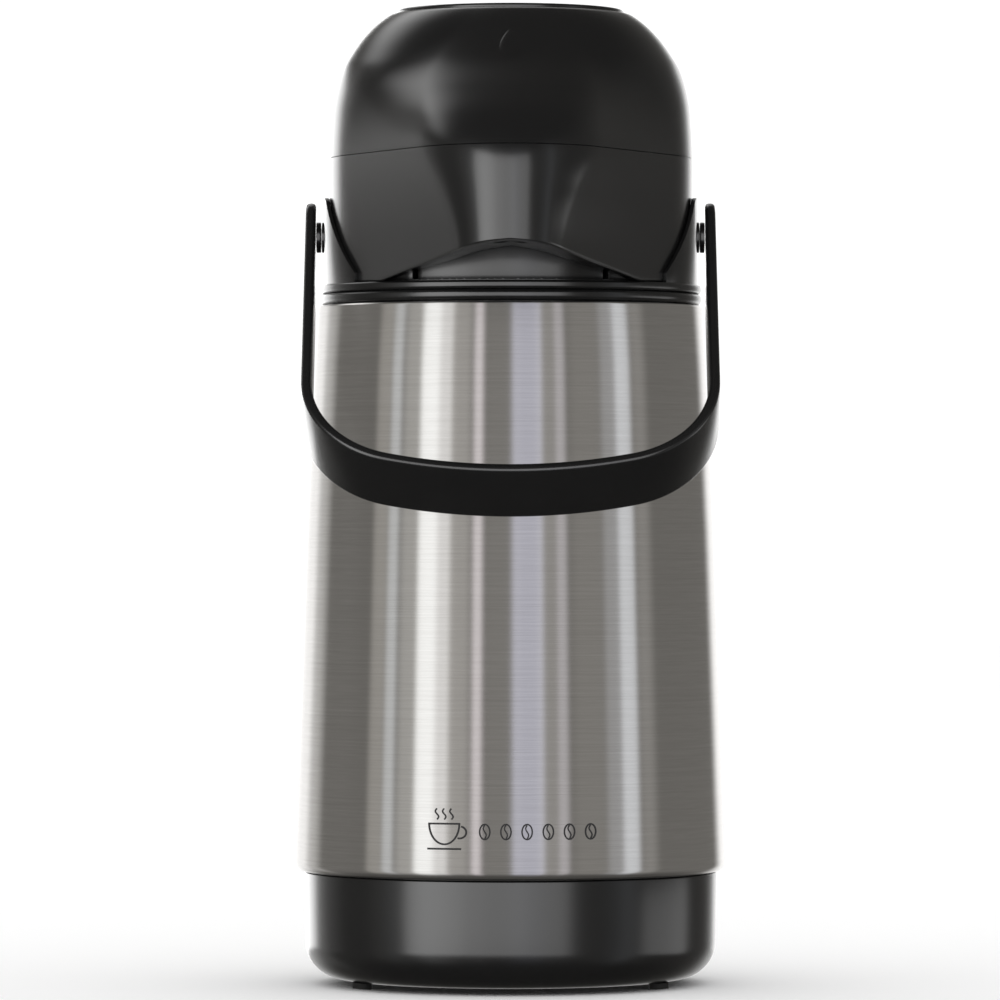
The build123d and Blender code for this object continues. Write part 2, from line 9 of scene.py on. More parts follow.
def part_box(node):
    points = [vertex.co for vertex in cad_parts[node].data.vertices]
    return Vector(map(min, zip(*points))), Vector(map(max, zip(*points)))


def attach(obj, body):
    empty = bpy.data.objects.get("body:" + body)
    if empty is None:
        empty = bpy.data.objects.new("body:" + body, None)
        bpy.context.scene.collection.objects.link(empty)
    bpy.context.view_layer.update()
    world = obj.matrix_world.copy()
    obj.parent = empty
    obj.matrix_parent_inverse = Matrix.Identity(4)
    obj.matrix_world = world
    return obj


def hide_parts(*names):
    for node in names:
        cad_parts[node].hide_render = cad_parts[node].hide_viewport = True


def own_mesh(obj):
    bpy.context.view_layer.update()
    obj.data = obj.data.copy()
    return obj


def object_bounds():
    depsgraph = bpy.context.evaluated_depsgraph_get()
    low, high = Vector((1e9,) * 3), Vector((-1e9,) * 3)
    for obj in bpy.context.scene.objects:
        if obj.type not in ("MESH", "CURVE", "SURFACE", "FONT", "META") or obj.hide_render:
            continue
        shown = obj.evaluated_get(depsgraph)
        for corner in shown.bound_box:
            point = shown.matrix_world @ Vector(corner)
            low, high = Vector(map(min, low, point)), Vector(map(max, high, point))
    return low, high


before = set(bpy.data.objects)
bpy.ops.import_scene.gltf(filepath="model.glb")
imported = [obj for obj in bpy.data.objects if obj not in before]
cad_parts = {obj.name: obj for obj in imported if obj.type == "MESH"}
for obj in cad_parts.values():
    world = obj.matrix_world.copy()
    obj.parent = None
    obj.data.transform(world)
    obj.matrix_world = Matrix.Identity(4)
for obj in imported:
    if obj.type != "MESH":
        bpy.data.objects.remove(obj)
cad_low, cad_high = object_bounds()


# ---- Rubber feet
# Three small pads of black rubber pushed into the underside of the base cup. They are moulded,
# so their skin is matt and very slightly grainy.

MM = 0.001


class Signal:
    """A value on its way through a finish: sums, differences and products add Math nodes."""

    def __init__(self, finish, socket):
        self.finish = finish
        self.socket = socket

    def math(self, operation, first, second):
        return self.finish.node("ShaderNodeMath", {"operation": operation}, {0: first, 1: second})

    def __add__(self, other):
        return self.math("ADD", self, other)

    def __radd__(self, other):
        return self.math("ADD", other, self)

    def __sub__(self, other):
        return self.math("SUBTRACT", self, other)

    def __rsub__(self, other):
        return self.math("SUBTRACT", other, self)

    def __mul__(self, other):
        return self.math("MULTIPLY", self, other)

    def __rmul__(self, other):
        return self.math("MULTIPLY", other, self)


class Finish:
    """The node sheet of a material or of the world: node() adds a node and returns one output."""

    def __init__(self, owner):
        owner.use_nodes = True
        self.owner = owner
        self.tree = owner.node_tree
        self.tree.nodes.clear()

    def node(self, kind, settings=None, sockets=None, output=0):
        made = self.tree.nodes.new(kind)
        for name, value in (settings or {}).items():
            setattr(made, name, value)
        for name, value in (sockets or {}).items():
            if isinstance(value, Signal):
                self.tree.links.new(value.socket, made.inputs[name])
            else:
                made.inputs[name].default_value = value
        return Signal(self, made.outputs[output]) if made.outputs else None

    def place(self, scale=(1, 1, 1)):
        """The point on the piece, in its own coordinates, stretched by scale."""
        point = self.node("ShaderNodeTexCoord", output=3)
        return self.node("ShaderNodeMapping", None, {"Vector": point, "Scale": scale})

    def noise(self, scale, detail=2.0, roughness=0.5, stretch=(1, 1, 1)):
        return self.node("ShaderNodeTexNoise", None, {
            "Vector": self.place(stretch), "Scale": scale, "Detail": detail, "Roughness": roughness,
        })

    def between(self, low, high, share):
        """A colour that goes from low to high with share."""
        colours = {0: share, 6: (*low, 1), 7: (*high, 1)}
        return self.node("ShaderNodeMix", {"data_type": "RGBA"}, colours, output=2)

    def bump(self, height, depth, strength=1.0, normal=None):
        sockets = {"Height": height, "Distance": depth, "Strength": strength}
        if normal is not None:
            sockets["Normal"] = normal
        return self.node("ShaderNodeBump", None, sockets)

    def surface(self, **sockets):
        named = {name.replace("_", " "): value for name, value in sockets.items()}
        shader = self.node("ShaderNodeBsdfPrincipled", None, named)
        self.node("ShaderNodeOutputMaterial", None, {"Surface": shader})
        return self.owner


def new_finish(name):
    return Finish(bpy.data.materials.new(name))


def dress(node, material):
    """Gives a CAD piece its finish."""
    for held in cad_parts[node].material_slots:
        held.material = material


def black_rubber():
    finish = new_finish("black_rubber")
    grain = finish.noise(1400, 3)
    return finish.surface(
        Base_Color=finish.between((0.012, 0.012, 0.012), (0.022, 0.021, 0.020), grain),
        Roughness=0.62 + 0.2 * grain,
        Normal=finish.bump(grain, 0.05 * MM),
    )


RUBBER = black_rubber()
dress("rubber_feet", RUBBER)


# ---- Base cup
# The glossy black cup that screws into the sleeve's foot. It is moulded in ABS, with a large
# rounded lower edge, a flat underside and a post ring that carries the glass refill.

BASE_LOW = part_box("base_cap")[0].z / MM
BASE_TOP = 38.2
BASE_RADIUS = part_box("base_cap")[1].x / MM
BASE_FLOOR = 2.2
CUP_EDGE = 12.5
SPIGOT_RADIUS = 67.6
SPIGOT_HEIGHT = 52.2
CUP_INSIDE = 65.4
POST_INNER, POST_OUTER, POST_TOP = 22.0, 26.0, 14.4


def outline(bm, points, rounds=(), closed=True):
    """Edges through (radius, height) points; rounds lists (corner, size, segments)."""
    corners = [bm.verts.new((radius * MM, 0, height * MM)) for radius, height in points]
    ends = corners[1:] + corners[:1] if closed else corners[1:]
    for start, end in zip(corners, ends):
        bm.edges.new((start, end))
    for corner, size, segments in rounds:
        bmesh.ops.bevel(bm, geom=[corners[corner]], offset=size * MM, offset_type="OFFSET",
                        segments=segments, profile=0.5, affect="VERTICES", material=-1)


def close_up(bm):
    bmesh.ops.remove_doubles(bm, verts=bm.verts, dist=0.0005 * MM)
    bmesh.ops.recalc_face_normals(bm, faces=bm.faces)


def turn(bm, steps=144):
    """Spins the outlines once round the axis into closed walls."""
    bmesh.ops.spin(bm, geom=bm.edges[:], cent=(0, 0, 0), axis=(0, 0, 1), angle=math.tau,
                   steps=steps, use_merge=True)
    close_up(bm)


def piece(name, bm, material, body, crease=35, stands_for=()):
    """Makes a finished piece of a bmesh and says where it belongs."""
    mesh = bpy.data.meshes.new(name)
    bm.to_mesh(mesh)
    bm.free()
    mesh.materials.append(material)
    mesh.shade_smooth()
    mesh.set_sharp_from_angle(angle=math.radians(crease))
    made = bpy.data.objects.new(name, mesh)
    bpy.context.scene.collection.objects.link(made)
    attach(made, body)
    if stands_for:
        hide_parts(*stands_for)
    return made


def gloss_black_abs():
    finish = new_finish("gloss_black_abs")
    cloud = finish.noise(45, 3)
    return finish.surface(
        Base_Color=finish.between((0.0042, 0.0042, 0.0043), (0.0060, 0.0059, 0.0059), cloud),
        Roughness=0.22 + 0.03 * cloud,
        IOR=1.47,
    )


GLOSS_BLACK = gloss_black_abs()
glossy_pieces = []

bm = bmesh.new()
outline(bm, [
    (0, BASE_LOW), (BASE_RADIUS - 0.5, BASE_LOW), (BASE_RADIUS, BASE_TOP), (SPIGOT_RADIUS, BASE_TOP),
    (SPIGOT_RADIUS, SPIGOT_HEIGHT), (CUP_INSIDE, SPIGOT_HEIGHT), (CUP_INSIDE, 15.5),
    (55, BASE_LOW + BASE_FLOOR), (0, BASE_LOW + BASE_FLOOR),
], [(1, CUP_EDGE, 14), (2, 0.5, 3), (3, 0.4, 2), (6, 3, 4)], closed=False)
outline(bm, [(POST_INNER, 4), (POST_OUTER, 4), (POST_OUTER, POST_TOP), (POST_INNER, POST_TOP)])
turn(bm)
glossy_pieces.append(piece("base_cup", bm, GLOSS_BLACK, "body",
                           stands_for=["base_cap"]))


# ---- Base ring
# The threaded ring of grey polypropylene that is pressed into the sleeve's lower end and takes
# the screw of the base cup. It is moulded, and can't be seen once the cup is on.

def grey_polypropylene():
    finish = new_finish("grey_polypropylene")
    flow = finish.noise(90, 3)
    return finish.surface(
        Base_Color=finish.between((0.20, 0.20, 0.205), (0.25, 0.25, 0.25), flow),
        Roughness=0.42 + 0.12 * flow,
        Normal=finish.bump(finish.noise(900, 2), 0.02 * MM),
    )


GREY_PLASTIC = grey_polypropylene()
dress("base_ring", GREY_PLASTIC)


# ---- Steel sleeve
# The tapered tube of 0.6 mm stainless steel. It is drawn, brushed round and round on a lathe, then
# curled in at the foot and folded in at the top.

SLEEVE_LOW = 38.4
SLEEVE_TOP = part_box("steel_sleeve")[1].z / MM
SLEEVE_FOOT = 72.9
SLEEVE_WALL = 0.6
SLEEVE_SIDE = [(SLEEVE_FOOT, 41.8), (70.6, 103.0), (67.9, 180.5), (65.1, 229.1)]
CURL_RADIUS = 69.9
FOLD_RADIUS = 61.0
SIDE_BEND = 28.0


def brushed_stainless():
    finish = new_finish("brushed_stainless")
    long_lines = finish.noise(9, 4, 0.65, stretch=(1, 1, 240))
    dashes = finish.noise(60, 3, 0.6, stretch=(1, 1, 26))
    brush = 0.55 * long_lines + 0.45 * dashes
    return finish.surface(
        Base_Color=finish.between((0.58, 0.565, 0.55), (0.88, 0.865, 0.855), brush),
        Metallic=1.0,
        Roughness=0.16 + 0.05 * brush,
        Anisotropic=1.0,
        Anisotropic_Rotation=0.25,
        Normal=finish.bump(dashes, 0.012 * MM, 0.6, normal=finish.bump(long_lines, 0.012 * MM, 0.5)),
    )


BRUSHED_STEEL = brushed_stainless()

bm = bmesh.new()
inner_side = [(radius - SLEEVE_WALL, height) for radius, height in reversed(SLEEVE_SIDE)]
top_radius = SLEEVE_SIDE[-1][0]
fold_under = SLEEVE_TOP - SLEEVE_WALL
outline(bm, [
    (CURL_RADIUS, SLEEVE_LOW), (SLEEVE_FOOT + 0.03, SLEEVE_LOW), *SLEEVE_SIDE[1:3],
    (top_radius, SLEEVE_TOP), (FOLD_RADIUS, SLEEVE_TOP), (FOLD_RADIUS, fold_under),
    (top_radius - SLEEVE_WALL, fold_under), *inner_side[1:3],
    (SLEEVE_FOOT - SLEEVE_WALL, 40.2), (CURL_RADIUS, SLEEVE_LOW + SLEEVE_WALL),
], [(1, 3.0, 6), (2, SIDE_BEND, 10), (3, SIDE_BEND, 10), (4, 0.9, 4), (8, SIDE_BEND, 6), (9, SIDE_BEND, 6)])
turn(bm, 192)
piece("brushed_sleeve", bm, BRUSHED_STEEL, "body", stands_for=["steel_sleeve"])


# ---- Printed mark
# A small steaming cup and a row of coffee beans, printed in dark ink on the front of the sleeve
# just above the base. The ink is a film far thinner than paper.

PRINT_HEIGHT = 54.7
PRINT_CUP_X = -21.9
PRINT_LIFT = 0.05
INK_THICKNESS = 0.04
CUP_LINE, STEAM_LINE, GROOVE_LINE = 0.6, 0.5, 0.45
CUP_RIM = 2.6
SAUCER_HEIGHT = -5.7
BEAN_START, BEAN_PITCH = -8.5, 7.0


def sleeve_radius(height):
    """Radius of the sleeve's outside at a height, on its straight lower stretch."""
    (low_radius, low), (high_radius, high) = SLEEVE_SIDE[:2]
    return low_radius + (high_radius - low_radius) * (height - low) / (high - low)


def stroke(bm, points, width, closed=False):
    """A flat line of even width through (x, z) points, in the XZ plane."""
    line = [Vector((x, 0, z)) for x, z in points]
    rails = []
    for i, point in enumerate(line):
        before = line[i - 1] if closed or i else point
        after = line[(i + 1) % len(line)] if closed or i + 1 < len(line) else point
        side = (after - before).normalized().cross(Vector((0, 1, 0))) * width / 2
        rails.append((bm.verts.new((point + side) * MM), bm.verts.new((point - side) * MM)))
    pairs = list(zip(rails, rails[1:] + rails[:1])) if closed else list(zip(rails, rails[1:]))
    for (a, b), (c, d) in pairs:
        bm.faces.new((a, b, d, c))


def arc(x, z, radius_x, radius_z, start, end, steps=20):
    """Points of an ellipse's arc between two angles in degrees."""
    turns = [math.radians(start + (end - start) * i / steps) for i in range(steps + 1)]
    return [(x + radius_x * math.cos(t), z + radius_z * math.sin(t)) for t in turns]


def dark_print_ink():
    finish = new_finish("dark_print_ink")
    speck = finish.noise(1500, 2)
    return finish.surface(
        Base_Color=finish.between((0.020, 0.020, 0.022), (0.032, 0.031, 0.032), speck),
        Roughness=0.38 + 0.1 * speck,
    )


bm = bmesh.new()
stroke(bm, arc(0, CUP_RIM, 5.0, 6.8, 180, 360, 24), CUP_LINE)
stroke(bm, [(-5.3 + 10.6 * i / 16, CUP_RIM) for i in range(17)], CUP_LINE)
stroke(bm, arc(5.0, -0.2, 2.3, 2.0, 75, -105, 16), CUP_LINE)
stroke(bm, [(-5.6 + 11.2 * i / 16, SAUCER_HEIGHT) for i in range(17)], CUP_LINE)
for offset in (-2.4, 0.0, 2.4):
    wave = [(offset + 0.55 * math.sin(i / 12 * math.tau), 4.0 + i / 12 * 3.6) for i in range(13)]
    stroke(bm, wave, STEAM_LINE)
for vert in bm.verts:
    vert.co.x += PRINT_CUP_X * MM
for bean in range(6):
    middle = BEAN_START + BEAN_PITCH * bean
    stroke(bm, arc(middle, 0.0, 1.7, 2.5, 0, 342, 19), STEAM_LINE, closed=True)
    groove = [(middle + 0.5 * math.sin(i / 8 * math.tau), -2.2 + i / 8 * 4.4) for i in range(9)]
    stroke(bm, groove, GROOVE_LINE)
for vert in bm.verts:
    height = PRINT_HEIGHT + vert.co.z / MM
    radius = sleeve_radius(height) + PRINT_LIFT
    across = vert.co.x / MM
    vert.co = Vector((across, -math.sqrt(radius ** 2 - across ** 2), height)) * MM
bm.normal_update()
inward = [face for face in bm.faces if face.normal.y > 0]
bmesh.ops.reverse_faces(bm, faces=inward)
bmesh.ops.solidify(bm, geom=bm.faces[:], thickness=INK_THICKNESS * MM)
bmesh.ops.recalc_face_normals(bm, faces=bm.faces)
piece("printed_cup_and_beans", bm, dark_print_ink(), "body")


# ---- Glass refill
# Two blown glass bottles fused at the mouth, silvered inside the sealed gap, with three small
# pads that keep the walls apart. The refill is what keeps the coffee hot.

def silvered_glass():
    finish = new_finish("silvered_glass")
    ripple = finish.noise(28, 2)
    return finish.surface(
        Base_Color=finish.between((0.78, 0.79, 0.80), (0.88, 0.88, 0.87), ripple),
        Metallic=1.0,
        Roughness=0.06 + 0.05 * ripple,
        Coat_Weight=0.8,
        Normal=finish.bump(ripple, 0.15 * MM),
    )


def wool_felt():
    finish = new_finish("wool_felt")
    fibre = finish.noise(700, 5, 0.7)
    return finish.surface(
        Base_Color=finish.between((0.42, 0.40, 0.36), (0.62, 0.60, 0.55), fibre),
        Roughness=0.9,
        Normal=finish.bump(fibre, 0.2 * MM),
    )


SILVERED_GLASS = silvered_glass()
dress("glass_outer_wall", SILVERED_GLASS)
dress("glass_inner_wall", SILVERED_GLASS)
dress("glass_spacers", wool_felt())


# ---- Seats of the refill
# A rubber cushion under the glass, a silicone ring on its mouth, and the dished grey plate that
# holds the glass down and leads the water in.

def milky_silicone():
    finish = new_finish("milky_silicone")
    cloud = finish.noise(120, 3)
    return finish.surface(
        Base_Color=finish.between((0.62, 0.62, 0.60), (0.72, 0.72, 0.70), cloud),
        Roughness=0.45 + 0.12 * cloud,
        Subsurface_Weight=0.15,
        Subsurface_Radius=(0.002, 0.002, 0.002),
    )


SILICONE = milky_silicone()
dress("bottom_cushion", RUBBER)
dress("neck_gasket", SILICONE)
dress("neck_plate", GREY_PLASTIC)


# ---- Collar
# The glossy black ring clipped on the sleeve's top, with two rounded beads, an upstand behind the
# beak with two narrow slots, and two ears that wrap round the head and carry the handle.

COLLAR_RADIUS = 64.8
COLLAR_FOOT = SLEEVE_TOP + 0.1
COLLAR_TOP = 237.0
SPIGOT_OUTER = 59.2
SPIGOT_INNER = 57.1
SPIGOT_TOP = 249.5
SLOT_ANGLE = 32.4
SLOT_WIDTH = 2.2
PIVOT_HEIGHT = 253.4
EAR_OUTER = 63.4
EAR_WALL = 1.3
EAR_HALF_WIDTH = 36.0
EAR_RISE = 13.2
BOSS_RADIUS = 5.2
BOSS_FACE = 64.15
BORE_RADIUS = 3.05
ROUND_X = Matrix.Rotation(math.radians(90), 4, "Y")


def shave(bm, point, normal):
    """Cuts away what lies past a plane, and closes the cut."""
    cut = bmesh.ops.bisect_plane(bm, geom=bm.verts[:] + bm.edges[:] + bm.faces[:], dist=0.00001 * MM,
                                 plane_co=Vector(point) * MM, plane_no=normal, clear_outer=True)
    rim = [part for part in cut["geom_cut"] if isinstance(part, bmesh.types.BMEdge)]
    bmesh.ops.holes_fill(bm, edges=rim, sides=0)


def soften(bm, size, segments, crease=40):
    """Rounds every edge that is sharper than crease degrees."""
    limit = math.radians(crease)
    sharp = [edge for edge in bm.edges if len(edge.link_faces) == 2 and edge.calc_face_angle() > limit]
    bmesh.ops.bevel(bm, geom=sharp, offset=size * MM, offset_type="OFFSET", segments=segments,
                    profile=0.5, affect="EDGES", material=-1, clamp_overlap=True)


def partly_turned(bm, points, start, sweep, steps):
    """A solid that an outline face sweeps over part of a turn; angles in degrees from +X."""
    part = bmesh.new()
    outline(part, points)
    bmesh.ops.contextual_create(part, geom=part.edges[:])
    bmesh.ops.rotate(part, verts=part.verts, cent=(0, 0, 0),
                     matrix=Matrix.Rotation(math.radians(start), 3, "Z"))
    bmesh.ops.spin(part, geom=part.verts[:] + part.edges[:] + part.faces[:], cent=(0, 0, 0),
                   axis=(0, 0, 1), angle=math.radians(sweep), steps=steps)
    close_up(part)
    soften(part, 0.25, 2, 50)
    add(bm, part)


def add(bm, part):
    """Puts a finished bmesh into another as a loose part."""
    mesh = bpy.data.meshes.new("part")
    part.to_mesh(mesh)
    part.free()
    bm.from_mesh(mesh)
    bpy.data.meshes.remove(mesh)


def ear(bm, side):
    """A round-topped web bent round the head, on the side of +X or -X."""
    part = bmesh.new()
    half = [(EAR_HALF_WIDTH, 234.8), (EAR_HALF_WIDTH, 240.2), (9.5, PIVOT_HEIGHT + EAR_RISE)]
    corners = [part.verts.new((0, y * MM, z * MM)) for y, z in half + [(-y, z) for y, z in half[::-1]]]
    part.faces.new(corners)
    bmesh.ops.bevel(part, geom=corners[2:4], offset=3.4 * MM, offset_type="OFFSET", segments=8,
                    profile=0.5, affect="VERTICES", material=-1)
    for y in range(-35, 36):
        bmesh.ops.bisect_plane(part, geom=part.verts[:] + part.edges[:] + part.faces[:],
                               dist=0.0001 * MM, plane_co=(0, y * MM, 0), plane_no=(0, 1, 0))
    for vert in part.verts:
        vert.co.x = side * math.sqrt((EAR_OUTER * MM) ** 2 - vert.co.y ** 2)
    bmesh.ops.recalc_face_normals(part, faces=part.faces)
    if sum(face.normal.x * side for face in part.faces) < 0:
        bmesh.ops.reverse_faces(part, faces=part.faces)
    bmesh.ops.solidify(part, geom=part.faces[:], thickness=EAR_WALL * MM)
    bmesh.ops.recalc_face_normals(part, faces=part.faces)
    soften(part, 0.35, 3, 60)
    add(bm, part)


def cross_ring(bm, start, end, outer, inner, height):
    """A ring with its axis along X, between two distances from the middle."""
    soft = 0.3
    part = bmesh.new()
    outline(part, [(inner, start), (outer, start), (outer, end), (inner, end)],
            [(1, soft, 2), (2, soft, 2)])
    turn(part, 64)
    part.transform(Matrix.Translation((0, 0, height * MM)) @ ROUND_X)
    close_up(part)
    add(bm, part)


bm = bmesh.new()
outline(bm, [
    (SPIGOT_INNER, 224.0), (60.8, 224.0), (60.8, COLLAR_FOOT), (63.5, COLLAR_FOOT),
    (COLLAR_RADIUS, 230.9), (COLLAR_RADIUS, 233.7), (63.6, 234.0),
    (64.75, 234.3), (64.75, 236.6), (64.1, COLLAR_TOP), (SPIGOT_OUTER, COLLAR_TOP),
    (SPIGOT_OUTER, COLLAR_TOP + 0.6), (SPIGOT_INNER, COLLAR_TOP + 0.6),
], [(4, 1.1, 5), (5, 1.1, 5), (7, 0.9, 5), (8, 0.5, 4), (9, 0.4, 2)])
turn(bm)
spigot = [
    (SPIGOT_OUTER, COLLAR_TOP + 0.1), (SPIGOT_OUTER, SPIGOT_TOP), (SPIGOT_INNER, SPIGOT_TOP),
    (SPIGOT_INNER, 246.0), (54.0, 246.0), (54.0, 244.2), (SPIGOT_INNER, 242.0),
    (SPIGOT_INNER, COLLAR_TOP + 0.1),
]
slot_half = math.degrees(math.asin(SLOT_WIDTH / 2 / SPIGOT_OUTER))
gap = SLOT_ANGLE - slot_half
partly_turned(bm, spigot, -90 - gap, 2 * gap, 40)
partly_turned(bm, spigot, -90 + SLOT_ANGLE + slot_half, 360 - 2 * (SLOT_ANGLE + slot_half), 120)
for side in (-1, 1):
    ear(bm, side)
    reach = sorted((side * 61.6, side * BOSS_FACE))
    cross_ring(bm, *reach, BOSS_RADIUS, BORE_RADIUS, PIVOT_HEIGHT)
glossy_pieces.append(piece("collar_with_ears", bm, GLOSS_BLACK, "body",
                           stands_for=["collar"]))


# ---- Stopper and delivery
# The grey plug in the glass mouth with its air chamber and sealing ring, the milky dip tube with
# the leak-stop ball on top, and the delivery pipe that runs to the nozzle in the beak.

def milky_tube():
    finish = new_finish("milky_polypropylene_tube")
    flow = finish.noise(150, 2)
    return finish.surface(
        Base_Color=finish.between((0.70, 0.71, 0.70), (0.80, 0.80, 0.79), flow),
        Roughness=0.28 + 0.1 * flow,
        Transmission_Weight=0.25,
        IOR=1.49,
    )


def bright_steel():
    finish = new_finish("bright_steel")
    drawn = finish.noise(220, 3, 0.6)
    return finish.surface(
        Base_Color=finish.between((0.55, 0.55, 0.56), (0.72, 0.71, 0.70), drawn),
        Metallic=1.0,
        Roughness=0.18 + 0.14 * drawn,
    )


MILKY_TUBE = milky_tube()
BRIGHT_STEEL = bright_steel()
dress("stopper_body", GREY_PLASTIC)
dress("stopper_gasket", SILICONE)
dress("dip_tube", MILKY_TUBE)
dress("check_ball", BRIGHT_STEEL)
dress("delivery_pipe", MILKY_TUBE)
dress("outlet_nozzle", GREY_PLASTIC)


# ---- Shoulder hood
# The lower half of the glossy black head: a round back that runs by flat flanks into a narrow
# nose over the beak. It is one thin moulding, open below, and its front edge is an arch.

SEAM = 280.0
SEAM_GAP = 0.08
HOOD_WALL = 2.2
HOOD_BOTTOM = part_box("shoulder_shell")[0].z / MM
BACK_STEPS = 88
FLANK_STEPS = 14
NOSE_STEPS = 34
# Height, radius of the round back, reach of the nose, radius of the nose, and of its very tip.
HEAD_FORM = [
    (232.0, 61.7, 106.0, 20.0, 20.0),
    (249.0, 61.7, 106.0, 20.0, 20.0),
    (265.0, 61.7, 105.7, 23.6, 20.5),
    (SEAM, 61.7, 103.0, 29.0, 22.0),
    (290.0, 61.3, 94.6, 30.6, 25.0),
    (300.0, 60.3, 80.6, 32.8, 29.5),
    (309.5, 57.7, 65.4, 36.0, 35.5),
    (315.0, 54.6, 58.2, 37.4, 37.2),
    (320.0, 51.0, 52.4, 38.0, 38.0),
    (324.4, 46.9, 47.6, 37.0, 37.0),
    (327.4, 43.2, 43.6, 35.6, 35.6),
    (328.7, 41.1, 41.4, 34.6, 34.6),
    (329.2, 39.7, 40.0, 34.0, 34.0),
]
LIP_ARCH = [(0, 248.8), (10, 247.9), (18, 246.0), (26, 243.6), (34, 241.2), (46, 236.4)]
REAR_ARCH = [(0, 248.2), (10, 246.0), (18, 243.2), (26, 241.0), (34, 239.2), (46, 236.2)]
LIP_DEPTH = -112.0
REAR_DEPTH = -26.6
ARCH_HALF = 46
FOOT_PLAN = 245.0


def through(table, at):
    """The values of a table's rows at a place between them, on a smooth curve through the rows."""
    last = len(table) - 1
    i = max(k for k in range(last) if k == 0 or table[k][0] <= at)

    def slope(k):
        before, after = table[max(k - 1, 0)], table[min(k + 1, last)]
        return [(b - a) / (after[0] - before[0]) for a, b in zip(before[1:], after[1:])]

    start, end = table[i], table[i + 1]
    span = end[0] - start[0]
    t = min(max((at - start[0]) / span, 0.0), 1.0)
    keep, lead, leave = 2 * t ** 3 - 3 * t ** 2 + 1, t ** 3 - 2 * t ** 2 + t, t ** 3 - t ** 2
    return [keep * a + (1 - keep) * b + span * (lead * m + leave * n)
            for a, b, m, n in zip(start[1:], end[1:], slope(i), slope(i + 1))]


def nose_curve(flank, reach, tip, turn_off):
    """Points round the nose: as round as tip in the middle, and flatter towards its flanks."""
    side = [Vector((0, 0, 0)), Vector((0, 0, 0))]
    stations = [tuple(side)]
    half_steps = NOSE_STEPS // 2
    for step in range(half_steps):
        share = (step + 0.5) / half_steps
        angle = turn_off * share
        along = Vector((math.cos(angle), math.sin(angle), 0)) * turn_off / half_steps
        side = [side[0] + tip * along, side[1] + share ** 2 * along]
        stations.append(tuple(side))
    across = Vector((math.sin(turn_off), -math.cos(turn_off), 0))
    start = Vector((0, -reach, 0))
    flatter = across.dot(flank - start - side[0]) / across.dot(side[1])
    half = [start + even + flatter * growing for even, growing in stations]
    return [point * Vector((-1, 1, 1)) for point in half[:0:-1]] + half


def head_points(height, inset=0.0):
    """The head's plan at a height as points round it: back, left flank, nose, right flank."""
    back, reach, nose, tip = (value - inset for value in through(HEAD_FORM, height))
    centre = max(reach - nose, back - nose + 0.02)
    turn_off = math.acos((back - nose) / centre)
    right = Vector((back * math.sin(turn_off), -back * math.cos(turn_off), 0))
    nose_right = Vector((nose * math.sin(turn_off), -centre - nose * math.cos(turn_off), 0))
    left = right * Vector((-1, 1, 1))
    around_nose = nose_curve(nose_right, reach, tip, turn_off)
    points = []
    for step in range(BACK_STEPS):
        angle = turn_off + (math.tau - 2 * turn_off) * step / BACK_STEPS
        points.append(Vector((back * math.sin(angle), -back * math.cos(angle), 0)))
    points += [left.lerp(around_nose[0], step / FLANK_STEPS) for step in range(FLANK_STEPS)]
    points += around_nose[:-1]
    points += [around_nose[-1].lerp(right, step / FLANK_STEPS) for step in range(FLANK_STEPS)]
    return points


def circle_points(radius):
    """Points on a circle that stand at the same places in the order as head_points gives."""
    around = head_points(HEAD_FORM[-1][0])
    return [point.normalized() * radius for point in around]


def arch_height(x, y):
    """Height of the arch under the beak at a point of the plan."""
    lip, = through(LIP_ARCH, abs(x))
    rear, = through(REAR_ARCH, abs(x))
    share = (y - LIP_DEPTH) / (REAR_DEPTH - LIP_DEPTH)
    return lip + (rear - lip) * share


def hood_bottom(point):
    under_beak = point.y < REAR_DEPTH and abs(point.x) < ARCH_HALF
    return max(HOOD_BOTTOM, arch_height(point.x, point.y)) if under_beak else HOOD_BOTTOM


def loop(bm, points):
    """A closed ring of edges through points in millimetres."""
    corners = [bm.verts.new(point * MM) for point in points]
    return [bm.edges.new(pair) for pair in zip(corners, corners[1:] + corners[:1])]


def skin(bm, loops):
    """Bridges each ring of edges to the next; two rings in one plane could twist, so none are level."""
    for below, above in zip(loops, loops[1:]):
        bmesh.ops.bridge_loops(bm, edges=below + above)


def at_height(points, height):
    return [Vector((point.x, point.y, height)) for point in points]


def shoulder_ring(share, inset):
    """The hood's plan points at a share of the way from its lower edge to the seam."""
    foot = [hood_bottom(point) for point in head_points(FOOT_PLAN)]
    top = SEAM - SEAM_GAP / 2
    ring = []
    for column, low in enumerate(foot):
        height = low + (top - low) * share
        point = shoulder_plan(height, inset)[column]
        ring.append(Vector((point.x, point.y, height)))
    return ring


plans = {}


def shoulder_plan(height, inset):
    """The head's plan at a height rounded to 0.05 mm, kept so that it is worked out once."""
    key = (round(height * 20), inset)
    if key not in plans:
        plans[key] = head_points(key[0] / 20, inset)
    return plans[key]


bm = bmesh.new()
LIP_ROUND = 0.5
shares = [0.0, 0.012, 0.03, *[0.03 + 0.96 * i / 18 for i in range(1, 19)], 1.0]
rings = [loop(bm, shoulder_ring(0.0, LIP_ROUND)), loop(bm, shoulder_ring(0.004, LIP_ROUND * 0.3))]
rings += [loop(bm, shoulder_ring(share, 0.0)) for share in shares[1:-1]]
rings += [loop(bm, shoulder_ring(0.9985, 0.03)), loop(bm, shoulder_ring(1.0, 0.1))]
rings += [loop(bm, shoulder_ring(share, HOOD_WALL)) for share in (0.995, 0.75, 0.5, 0.25, 0.01)]
skin(bm, rings + rings[:1])
close_up(bm)

HINGE_Y = 62.8
HINGE_Z = 280.0
KNUCKLE_RADIUS = 4.2
PIN_RADIUS = 1.5
KNUCKLE_HALF = 14.0
KNUCKLE_END = 24.0


